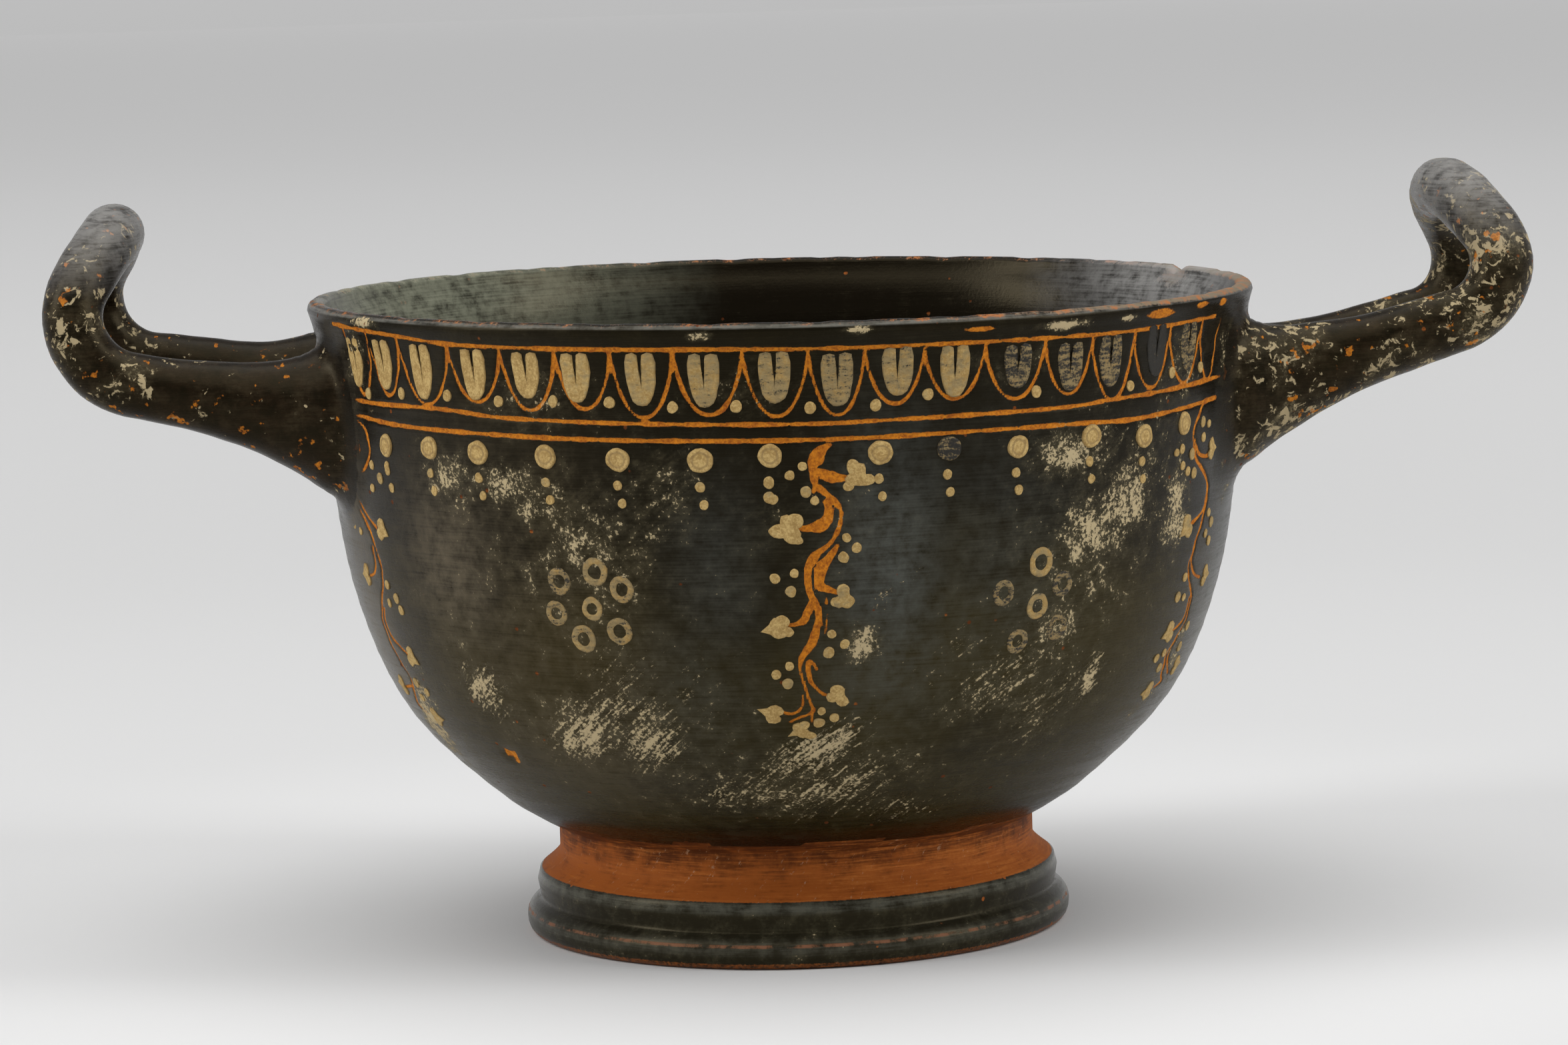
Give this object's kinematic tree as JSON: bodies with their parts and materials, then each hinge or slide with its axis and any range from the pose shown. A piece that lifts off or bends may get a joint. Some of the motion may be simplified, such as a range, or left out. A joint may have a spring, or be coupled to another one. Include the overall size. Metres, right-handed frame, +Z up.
{
  "type": "two-handled pottery cup",
  "caption": "Deep round drinking cup in black-glazed pottery, with a flared lip, a moulded ring foot, upturned horseshoe handles and a worn painted frieze.",
  "frame": {"origin": "on the table under the middle of the foot, which is within a millimetre of the middle of the whole outline", "axes": "+X towards one handle, +Y across the bowl to the plainer side, +Z up"},
  "size_m": [0.2165, 0.14, 0.1114],
  "materials": {
    "black_glaze": "satin, worn"
  },
  "bodies": {
    "root": {"cup": "black_glaze"}
  },
  "joints": []
}
